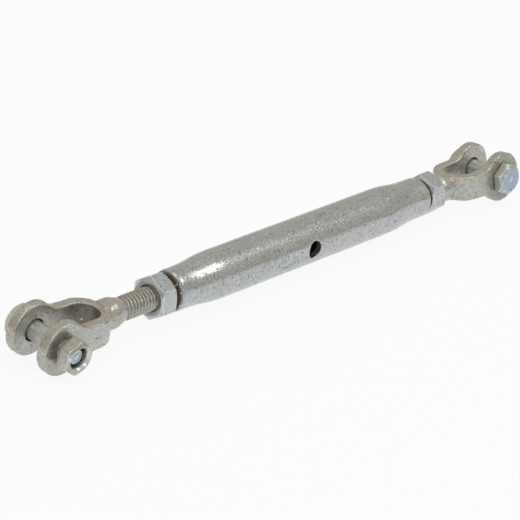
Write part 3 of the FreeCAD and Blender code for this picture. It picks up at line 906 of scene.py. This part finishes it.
def galvanised(name, light, dark, tint, tint_share, metallic, smooth, rough, grain, edge_from,
               corner_dirt_and_shade=1.0, painted_shade=0.0, side_tan_and_reflection=0.0, stain_and_painted_light=DARK_STAIN_AND_PAINTED_SHADE):
    """Hot-dip zinc: fine grain, grey mottle, tan tints, dark pits, brown dirt with painted shade in
    corners, and marks.

    Zinc runs from light to dark, and its roughness from smooth to rough. The share tint_share says how much
    tan there is, and side_tan_and_reflection how much tan lies on faces turned from Y, partly a painted
    reflection of the warm room;
    corner_dirt_and_shade says how much brown dirt and painted shade lie in corners, and painted_shade how
    much painted shade lies in sheltered places. The grain is the strength of the bump, and edges are bright
    from the pointiness edge_from, as rubbed zinc and a painted highlight. The stain_and_painted_light is
    the colour of the
    dirt_and_painted_light attribute: dirt, with painted shade on the jaws and a painted reflection on the
    bolts.
    """
    material, tree, shader = node_material(name)
    place = tree.nodes.new("ShaderNodeTexCoord").outputs["Object"]
    fine = noise_node(tree, place, scale=900.0, detail=4.0, roughness=0.7)
    mottle = noise_node(tree, place, scale=170.0, detail=5.0, roughness=0.6)
    patches = noise_node(tree, place, scale=130.0, detail=5.0, roughness=0.65)
    blots = noise_node(tree, place, scale=430.0, detail=3.0, roughness=0.6)
    specks = noise_node(tree, place, scale=780.0, detail=1.5, roughness=0.5)
    waves = noise_node(tree, place, scale=260.0, detail=3.0, roughness=0.55)
    colour = blend_colour(tree, ramp(tree, fine, [(0.36, 0.0), (0.64, 1.0)]), dark, light)
    colour = blend_colour(tree, ramp(tree, mottle, [(0.40, 0.0), (0.66, 0.30)]), colour, dark)
    colour = blend_colour(tree, ramp(tree, patches, [(0.40, 0.0), (0.66, tint_share)]), colour, tint)
    # Tan on faces turned away from Y: the zinc's tint, and partly a painted reflection of the warm room
    if side_tan_and_reflection > 0:
        colour = blend_colour(tree, side_tan_and_reflection_share(tree, mottle, side_tan_and_reflection), colour, tint)
    colour = blend_colour(tree, ramp(tree, blots, [(0.60, 0.0), (0.70, 0.40)]), colour, BLOT_BROWN)
    colour = blend_colour(tree, ramp(tree, specks, [(0.645, 0.0), (0.715, 0.8)]), colour, SPECK_BROWN)
    # Brown dirt and painted shade where the surface is closed in within a short reach
    crevice_dirt_and_shade = closed_in(tree, CORNER_DIRT_AND_SHADE_REACH, [(0.12, 0.85 * corner_dirt_and_shade), (0.48, 0.0)])
    colour = blend_colour(tree, crevice_dirt_and_shade, colour, CORNER_DIRT_AND_SHADE_BROWN)
    # Painted shade: grey darkening of places closed in within a long reach, such as the ear beside a nut
    if painted_shade > 0:
        painted_shade_share = closed_in(tree, PAINTED_SHADE_REACH, [(0.10, 0.60 * painted_shade), (0.62, 0.0)])
        colour = blend_colour(tree, painted_shade_share, colour, PAINTED_SHADE_GREY)
    # Per-vertex dirt: on the tube and nuts dirt, on the jaws partly painted shade, on the bolts a painted
    # reflection
    layer = tree.nodes.new("ShaderNodeAttribute")
    layer.attribute_name = "dirt_and_painted_light"
    dirt_and_painted_light = layer.outputs["Fac"]
    colour = blend_colour(tree, dirt_and_painted_light, colour, stain_and_painted_light)
    # Rubbed zinc and a painted highlight: sharp edges lightened by pointiness
    sharpness = tree.nodes.new("ShaderNodeNewGeometry").outputs["Pointiness"]
    worn_and_highlit_edges = ramp(tree, sharpness, [(edge_from, 0.0), (edge_from + 0.03, 0.8)])
    link(tree, blend_colour(tree, worn_and_highlit_edges, colour, EDGE_WEAR_AND_HIGHLIGHT), shader.inputs["Base Color"])
    link(tree, ramp(tree, dirt_and_painted_light, [(0.0, metallic), (1.0, 0.25 * metallic)]), shader.inputs["Metallic"])
    link(tree, ramp(tree, fine, [(0.3, smooth), (0.7, rough)]), shader.inputs["Roughness"])
    pits = ramp(tree, specks, [(0.60, 1.0), (0.73, 0.0)])
    bumps = [(pits, PIT_DEPTH * grain), (fine, GRAIN_DEPTH * grain), (waves, WAVE_DEPTH * grain)]
    add_bump(tree, shader, bumps)
    return material


def paint(piece, material):
    piece.data.materials.clear()
    piece.data.materials.append(material)


# Studio

FLOOR_REACH = 6.0
FLOOR_GAP = 0.0002
FLOOR_COLOUR = (0.84, 0.88, 0.96)
# How much of the floor is plain white where it is seen or mirrored
FLOOR_WHITE = 0.90
WHITE = (1.0, 1.0, 1.0, 1.0)

# Room light by height above the horizon: a dark strip, then warm walls and ceiling
ROOM_BANDS = [
    (0.0, (0.28, 0.27, 0.25)),
    (0.03, (0.30, 0.29, 0.27)),
    (0.09, (0.60, 0.58, 0.53)),
    (0.45, (0.65, 0.63, 0.575)),
    (0.76, (0.61, 0.595, 0.56)),
    (0.88, (0.74, 0.71, 0.63)),
    (1.0, (0.84, 0.79, 0.68)),
]


def mixed_shader(tree, share, first, second):
    """Mix of two surfaces, where a share of 1 is the second."""
    mixer = tree.nodes.new("ShaderNodeMixShader")
    link(tree, share, mixer.inputs["Fac"])
    link(tree, first, mixer.inputs[1])
    link(tree, second, mixer.inputs[2])
    return mixer.outputs["Shader"]


def seen_share(tree, share):
    """Share for camera, glossy and transmission rays, and nothing for the rest."""
    rays = tree.nodes.new("ShaderNodeLightPath").outputs
    direct = math_node(tree, "MAXIMUM", rays["Is Camera Ray"], rays["Is Glossy Ray"])
    seen = math_node(tree, "MAXIMUM", direct, rays["Is Transmission Ray"])
    return math_node(tree, "MULTIPLY", seen, share)


def make_floor():
    """Pale floor just under the object, which keeps its shadow and shows as near white."""
    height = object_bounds()[0][2] - FLOOR_GAP
    corners = [(x * FLOOR_REACH, y * FLOOR_REACH, height) for x, y in ((-1, -1), (1, -1), (1, 1), (-1, 1))]
    mesh = bpy.data.meshes.new("floor")
    mesh.from_pydata(corners, [], [(0, 1, 2, 3)])
    floor = bpy.data.objects.new("floor", mesh)
    bpy.context.scene.collection.objects.link(floor)
    material, tree, shader = node_material("floor_white")
    shader.inputs["Base Color"].default_value = (*FLOOR_COLOUR, 1)
    shader.inputs["Roughness"].default_value = 1.0
    shader.inputs["Specular IOR Level"].default_value = 0.0
    glow = tree.nodes.new("ShaderNodeEmission")
    glow.inputs["Color"].default_value = WHITE
    seen = seen_share(tree, FLOOR_WHITE)
    surface = mixed_shader(tree, seen, shader.outputs["BSDF"], glow.outputs["Emission"])
    link(tree, surface, tree.nodes["Material Output"].inputs["Surface"])
    paint(floor, material)


def make_world():
    """Room light for the object, and plain white where the camera sees past the floor."""
    world = bpy.data.worlds.new("studio")
    bpy.context.scene.world = world
    world.use_nodes = True
    tree = world.node_tree
    room = tree.nodes["Background"]
    split = tree.nodes.new("ShaderNodeSeparateXYZ")
    link(tree, tree.nodes.new("ShaderNodeTexCoord").outputs["Generated"], split.inputs["Vector"])
    link(tree, ramp(tree, split.outputs["Z"], ROOM_BANDS), room.inputs["Color"])
    white = tree.nodes.new("ShaderNodeBackground")
    white.inputs["Color"].default_value = WHITE
    seen = tree.nodes.new("ShaderNodeLightPath").outputs["Is Camera Ray"]
    surface = mixed_shader(tree, seen, room.outputs["Background"], white.outputs["Background"])
    link(tree, surface, tree.nodes["World Output"].inputs["Surface"])


def soft_lamp(name, azimuth, elevation, distance, width, height, watts):
    """Area lamp on a sphere round the object, aimed at its middle, its height square to the tube."""
    data = bpy.data.lights.new(name, "AREA")
    data.shape = "RECTANGLE"
    data.size = width
    data.size_y = height
    data.energy = watts
    lamp = bpy.data.objects.new(name, data)
    bpy.context.scene.collection.objects.link(lamp)
    turn, rise = math.radians(azimuth), math.radians(elevation)
    towards = Vector((math.cos(turn) * math.cos(rise), math.sin(turn) * math.cos(rise), math.sin(rise)))
    upright = Vector((1, 0, 0)).cross(towards).normalized()
    matrix = Matrix((upright.cross(towards), upright, towards)).transposed().to_4x4()
    matrix.translation = towards * distance
    lamp.matrix_world = matrix


# Making the object

tube_metal = galvanised(
    "tube_metal", light=(0.61, 0.65, 0.67), dark=(0.37, 0.39, 0.40), tint=(0.46, 0.42, 0.33),
    tint_share=0.40, metallic=0.9, smooth=0.21, rough=0.30, grain=0.85, edge_from=0.56,
    stain_and_painted_light=(0.13, 0.088, 0.055))
jaw_metal = galvanised(
    "jaw_metal", light=(0.64, 0.67, 0.645), dark=(0.35, 0.365, 0.345), tint=(0.44, 0.375, 0.275),
    tint_share=0.50, metallic=0.80, smooth=0.27, rough=0.41, grain=1.1, edge_from=0.61,
    painted_shade=0.2, side_tan_and_reflection=0.40)
nut_metal = galvanised(
    "nut_metal", light=(0.59, 0.65, 0.68), dark=(0.44, 0.48, 0.50), tint=(0.43, 0.37, 0.27),
    tint_share=0.40, metallic=0.9, smooth=0.20, rough=0.30, grain=0.5, edge_from=0.51,
    stain_and_painted_light=(0.12, 0.085, 0.055))
clevis_nut_metal = galvanised(
    "clevis_nut_metal", light=(0.56, 0.585, 0.555), dark=(0.38, 0.395, 0.37), tint=(0.43, 0.36, 0.25),
    tint_share=0.75, metallic=0.85, smooth=0.22, rough=0.32, grain=0.6, edge_from=0.51)
# The bolts' stain colour is a painted tan reflection of the warm room on shanks and head sides
bolt_metal = galvanised(
    "bolt_metal", light=(0.37, 0.49, 0.60), dark=(0.32, 0.40, 0.47), tint=(0.44, 0.38, 0.28),
    tint_share=0.25, metallic=0.9, smooth=0.24, rough=0.34, grain=0.3, edge_from=0.51,
    corner_dirt_and_shade=0.35, stain_and_painted_light=(0.60, 0.56, 0.45))

paint(make_tube(), tube_metal)
paint(make_jaw("left", LEFT_PIN, way=1, hand=-1, turn=JAW_TURN, seed=11), jaw_metal)
paint(make_jaw("right", RIGHT_PIN, way=-1, hand=1, turn=-JAW_TURN, seed=23), jaw_metal)
paint(make_lock_nut("left", -LOCK_NUT_LEFT_FACE, way=-1, corner=28.0, seed=31), nut_metal)
paint(make_lock_nut("right", LOCK_NUT_RIGHT_FACE, way=1, corner=18.0, seed=37), nut_metal)

left_eye = ("left", LEFT_PIN, -1, JAW_TURN)
right_eye = ("right", RIGHT_PIN, 1, -JAW_TURN)
paint(make_clevis_bolt(*left_eye, length=36.0, play=1.6, corner=21.0, seed=41), bolt_metal)
paint(make_clevis_nut(*left_eye, thickness=8.0, play=2.0, corner=23.0, seed=44), clevis_nut_metal)
paint(make_clevis_bolt(*right_eye, length=33.2, play=0.3, corner=20.0, seed=47), bolt_metal)
paint(make_clevis_nut(*right_eye, thickness=5.6, play=0.3, corner=35.0, seed=50), clevis_nut_metal)

make_floor()
make_world()
soft_lamp("key", azimuth=-44.0, elevation=51.0, distance=1.6, width=0.08, height=0.50, watts=3.0)
soft_lamp("front", azimuth=-126.0, elevation=34.0, distance=1.7, width=0.30, height=0.30, watts=2.7)
soft_lamp("top", azimuth=100.0, elevation=82.0, distance=2.0, width=1.4, height=1.0, watts=2.7)
bpy.context.scene.view_settings.view_transform = "Standard"
